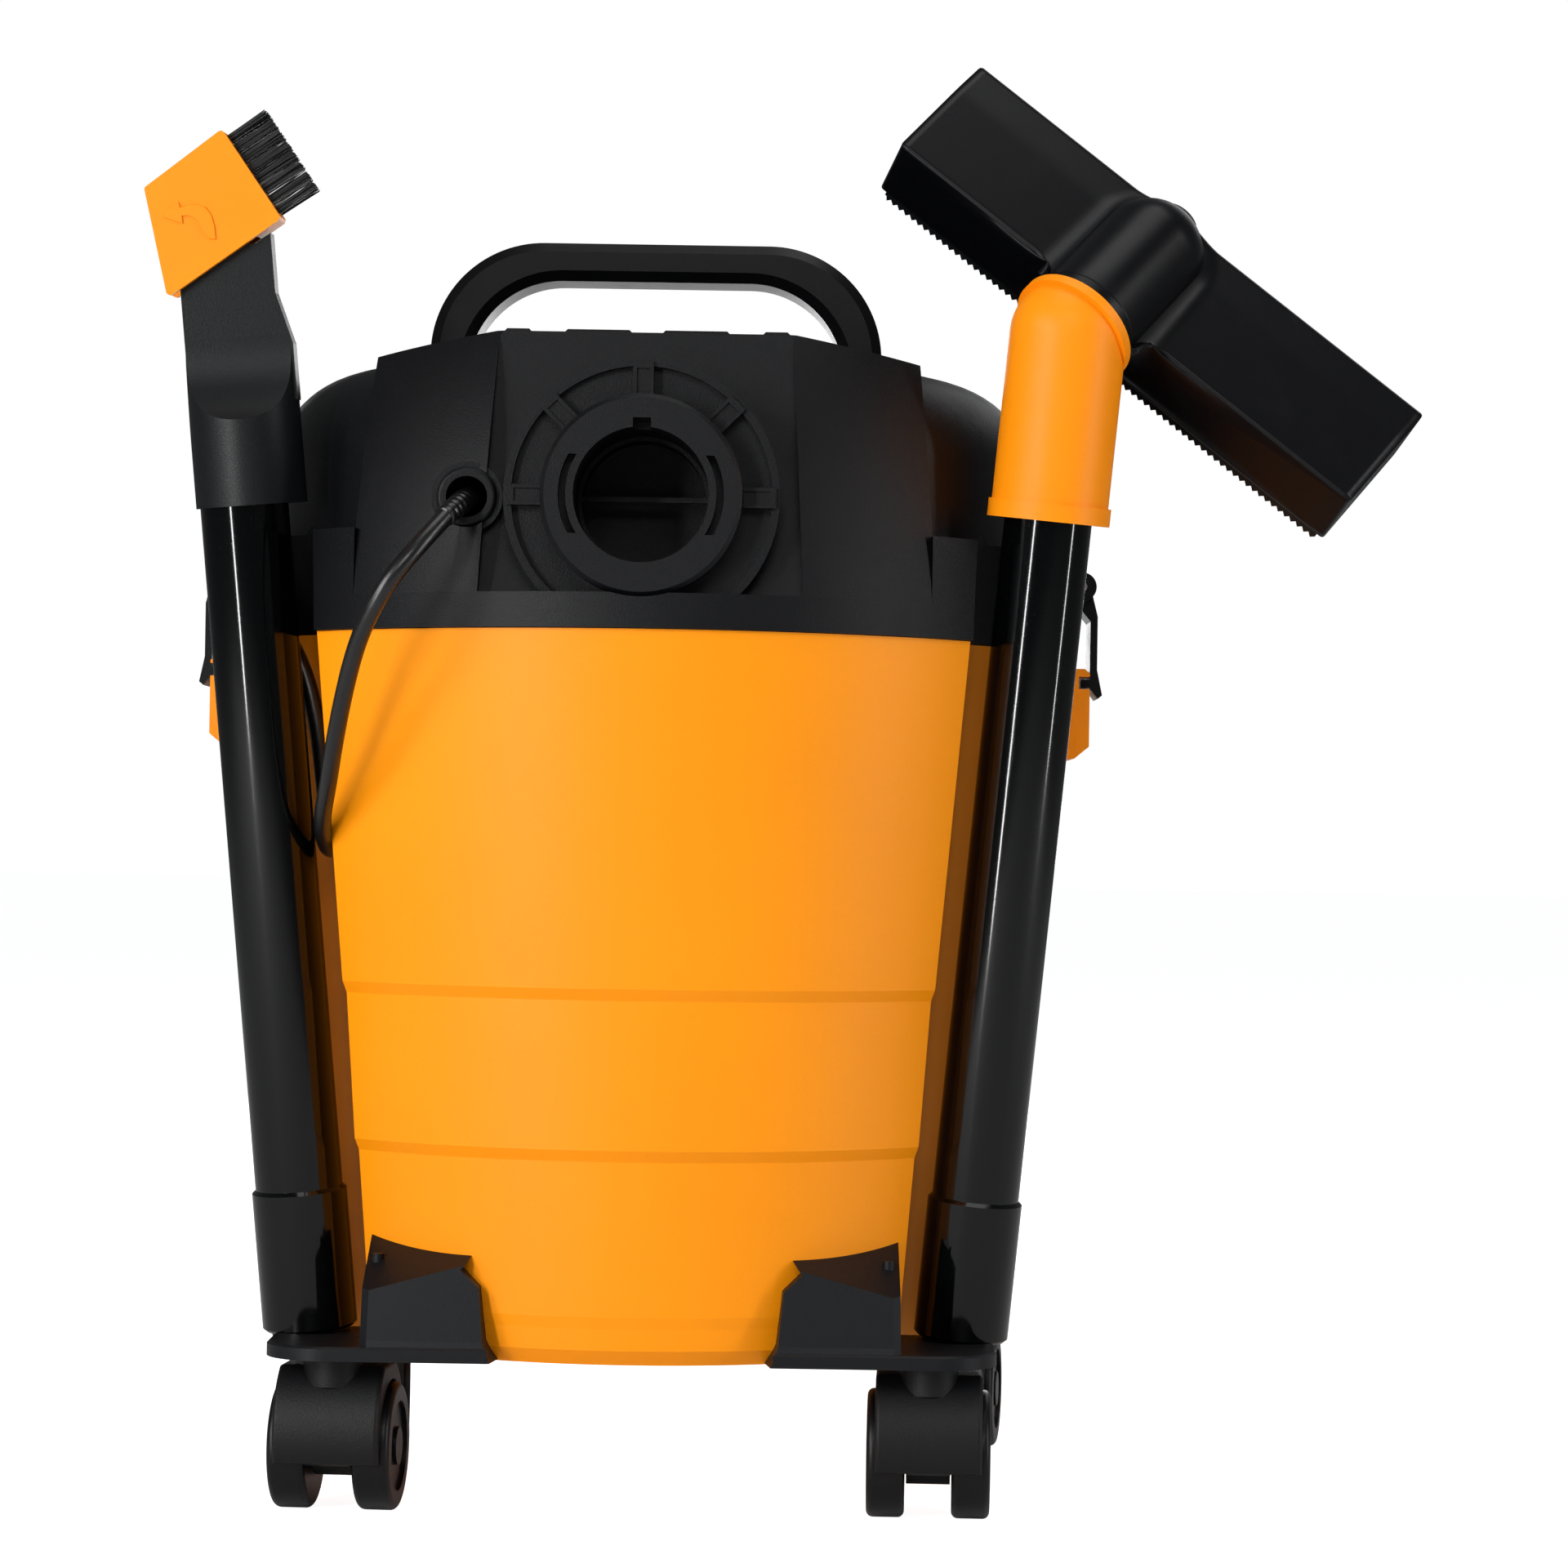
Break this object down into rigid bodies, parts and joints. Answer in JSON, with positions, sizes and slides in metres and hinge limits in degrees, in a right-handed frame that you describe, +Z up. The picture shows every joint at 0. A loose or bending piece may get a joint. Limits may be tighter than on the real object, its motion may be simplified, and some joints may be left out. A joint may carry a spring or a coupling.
{
  "type": "wet and dry vacuum cleaner",
  "caption": "Drum vacuum cleaner on casters with a blower port, its tubes, crevice tool with brush, and floor nozzle stowed upright on the back.",
  "frame": {"origin": "bottom centre of the machine's box with the tools stowed, on the floor", "axes": "+Z up; -Y out of the blower port, on the side where the tubes are stowed; +X towards the floor nozzle"},
  "size_m": [0.504, 0.6867, 0.5773],
  "materials": {
    "drum_orange": "satin moulded polypropylene",
    "tool_orange": "satin moulded polypropylene",
    "head_black": "finely grained moulded plastic",
    "grip_black": "satin moulded plastic",
    "bracket_black": "finely grained moulded plastic",
    "caster_black": "grained moulded plastic",
    "wheel_black": "hard rolling plastic, satin",
    "tube_gloss": "polished extruded plastic",
    "tool_black": "satin moulded plastic",
    "bristle_black": "nylon bristles",
    "cord_rubber": "smooth flexible sheath",
    "seal_rubber": "soft foam rubber",
    "switch_red": "polished",
    "foam_grey": "open-cell foam",
    "motor_steel": "rolled steel can",
    "inner_grey": "plain moulded plastic",
    "steel": "zinc plated"
  },
  "bodies": {
    "canister": {"tank": "drum_orange", "tank_seal": "seal_rubber", "inlet_port": "head_black", "head_base": "inner_grey", "head_cover": "head_black", "port_ring": "head_black", "handle": "grip_black", "handle_screws": "steel", "cord_grommet": "head_black", "cord_hook": "head_black", "switch_bezel": "head_black", "fan_housing": "inner_grey", "motor": "motor_steel", "filter_cage": "inner_grey", "filter_sleeve": "foam_grey", "foot_screws": "steel", "latch_pin_left": "steel", "foot_rear_left": "bracket_black", "foot_front_left": "bracket_black", "latch_pin_right": "steel", "foot_rear_right": "bracket_black", "foot_front_right": "bracket_black", "cord_strain_relief": "cord_rubber", "power_cord": "cord_rubber", "cord_coil": "cord_rubber", "plug_body": "cord_rubber", "plug_pins": "steel"},
    "latch_left": {"latch_left": "grip_black"},
    "latch_right": {"latch_right": "grip_black"},
    "switch_rocker": {"switch_rocker": "switch_red"},
    "impeller": {"impeller": "inner_grey"},
    "float_ball": {"float_ball": "inner_grey"},
    "tube_left": {"tube_left": "tube_gloss"},
    "crevice_tool": {"crevice_tool": "tool_black"},
    "dusting_brush": {"brush_holder": "tool_orange", "brush_bristles": "bristle_black", "brush_pin": "steel"},
    "tube_right": {"tube_right": "tube_gloss"},
    "elbow": {"nozzle_elbow": "tool_orange"},
    "floor_nozzle": {"nozzle_body": "tool_black", "nozzle_sole": "tool_black"},
    "caster_rear_left": {"hood_rear_left": "caster_black", "pins_rear_left": "steel"},
    "wheel_a_rear_left": {"wheel_a_rear_left": "wheel_black"},
    "wheel_b_rear_left": {"wheel_b_rear_left": "wheel_black"},
    "caster_rear_right": {"hood_rear_right": "caster_black", "pins_rear_right": "steel"},
    "wheel_a_rear_right": {"wheel_a_rear_right": "wheel_black"},
    "wheel_b_rear_right": {"wheel_b_rear_right": "wheel_black"},
    "caster_front_left": {"hood_front_left": "caster_black", "pins_front_left": "steel"},
    "wheel_a_front_left": {"wheel_a_front_left": "wheel_black"},
    "wheel_b_front_left": {"wheel_b_front_left": "wheel_black"},
    "caster_front_right": {"hood_front_right": "caster_black", "pins_front_right": "steel"},
    "wheel_a_front_right": {"wheel_a_front_right": "wheel_black"},
    "wheel_b_front_right": {"wheel_b_front_right": "wheel_black"}
  },
  "joints": [
    {"name": "latch_left_swing", "type": "hinge", "parent": "canister", "child": "latch_left", "pos_m": [-0.23269, -0.007, 0.371], "axis": [0, 1, 0], "range_deg": [0, 70]},
    {"name": "latch_right_swing", "type": "hinge", "parent": "canister", "child": "latch_right", "pos_m": [0.12231, -0.007, 0.371], "axis": [0, -1, 0], "range_deg": [0, 70]},
    {"name": "switch_rock", "type": "hinge", "parent": "canister", "child": "switch_rocker", "pos_m": [-0.05518, 0.145, 0.425], "axis": [1, 0, 0], "range_deg": [0, 8]},
    {"name": "impeller_spin", "type": "hinge", "parent": "canister", "child": "impeller", "pos_m": [-0.05518, -0.007, 0.372], "axis": [0, 0, 1], "continuous": true},
    {"name": "float_lift", "type": "slide", "parent": "canister", "child": "float_ball", "axis": [0, 0, 1], "range_m": [0, 0.048]},
    {"name": "tube_left_draw", "type": "slide", "parent": "canister", "child": "tube_left", "axis": [-0.0879, -0.0792, 0.993], "range_m": [0, 0.35]},
    {"name": "crevice_tool_pull", "type": "slide", "parent": "tube_left", "child": "crevice_tool", "axis": [-0.0879, -0.0792, 0.993], "range_m": [0, 0.05]},
    {"name": "brush_flip", "type": "hinge", "parent": "crevice_tool", "child": "dusting_brush", "pos_m": [-0.23236, -0.11552, 0.4995], "axis": [0.0069, -0.9969, -0.0789], "range_deg": [0, 57]},
    {"name": "tube_right_draw", "type": "slide", "parent": "canister", "child": "tube_right", "axis": [0.0879, -0.0792, 0.993], "range_m": [0, 0.35]},
    {"name": "elbow_turn", "type": "hinge", "parent": "tube_right", "child": "elbow", "pos_m": [0.10931, -0.11262, 0.464], "axis": [0.0879, -0.0792, 0.993], "range_deg": [-60, 15]},
    {"name": "nozzle_turn", "type": "hinge", "parent": "elbow", "child": "floor_nozzle", "pos_m": [0.11274, -0.10963, 0.46791], "axis": [0.5713, 0.4981, 0.6523], "range_deg": [-20, 20]},
    {"name": "swivel_rear_left", "type": "hinge", "parent": "canister", "child": "caster_rear_left", "pos_m": [-0.17119, -0.121, 0], "axis": [0, 0, 1], "continuous": true},
    {"name": "roll_a_rear_left", "type": "hinge", "parent": "caster_rear_left", "child": "wheel_a_rear_left", "pos_m": [-0.16997, -0.10705, 0.025], "axis": [0.9962, -0.0872, 0], "continuous": true},
    {"name": "roll_b_rear_left", "type": "hinge", "parent": "caster_rear_left", "child": "wheel_b_rear_left", "pos_m": [-0.16997, -0.10705, 0.025], "axis": [0.9962, -0.0872, 0], "continuous": true},
    {"name": "swivel_rear_right", "type": "hinge", "parent": "canister", "child": "caster_rear_right", "pos_m": [0.06082, -0.121, 0], "axis": [0, 0, 1], "continuous": true},
    {"name": "roll_a_rear_right", "type": "hinge", "parent": "caster_rear_right", "child": "wheel_a_rear_right", "pos_m": [0.0613, -0.10701, 0.025], "axis": [0.9994, -0.0349, 0], "continuous": true},
    {"name": "roll_b_rear_right", "type": "hinge", "parent": "caster_rear_right", "child": "wheel_b_rear_right", "pos_m": [0.0613, -0.10701, 0.025], "axis": [0.9994, -0.0349, 0], "continuous": true},
    {"name": "swivel_front_left", "type": "hinge", "parent": "canister", "child": "caster_front_left", "pos_m": [-0.18318, 0.091, 0], "axis": [0, 0, 1], "continuous": true},
    {"name": "roll_a_front_left", "type": "hinge", "parent": "caster_front_left", "child": "wheel_a_front_left", "pos_m": [-0.18465, 0.10492, 0.025], "axis": [0.9945, 0.1045, 0], "continuous": true},
    {"name": "roll_b_front_left", "type": "hinge", "parent": "caster_front_left", "child": "wheel_b_front_left", "pos_m": [-0.18465, 0.10492, 0.025], "axis": [0.9945, 0.1045, 0], "continuous": true},
    {"name": "swivel_front_right", "type": "hinge", "parent": "canister", "child": "caster_front_right", "pos_m": [0.07282, 0.091, 0], "axis": [0, 0, 1], "continuous": true},
    {"name": "roll_a_front_right", "type": "hinge", "parent": "caster_front_right", "child": "wheel_a_front_right", "pos_m": [0.07476, 0.10486, 0.025], "axis": [0.9903, -0.1392, 0], "continuous": true},
    {"name": "roll_b_front_right", "type": "hinge", "parent": "caster_front_right", "child": "wheel_b_front_right", "pos_m": [0.07476, 0.10486, 0.025], "axis": [0.9903, -0.1392, 0], "continuous": true}
  ]
}
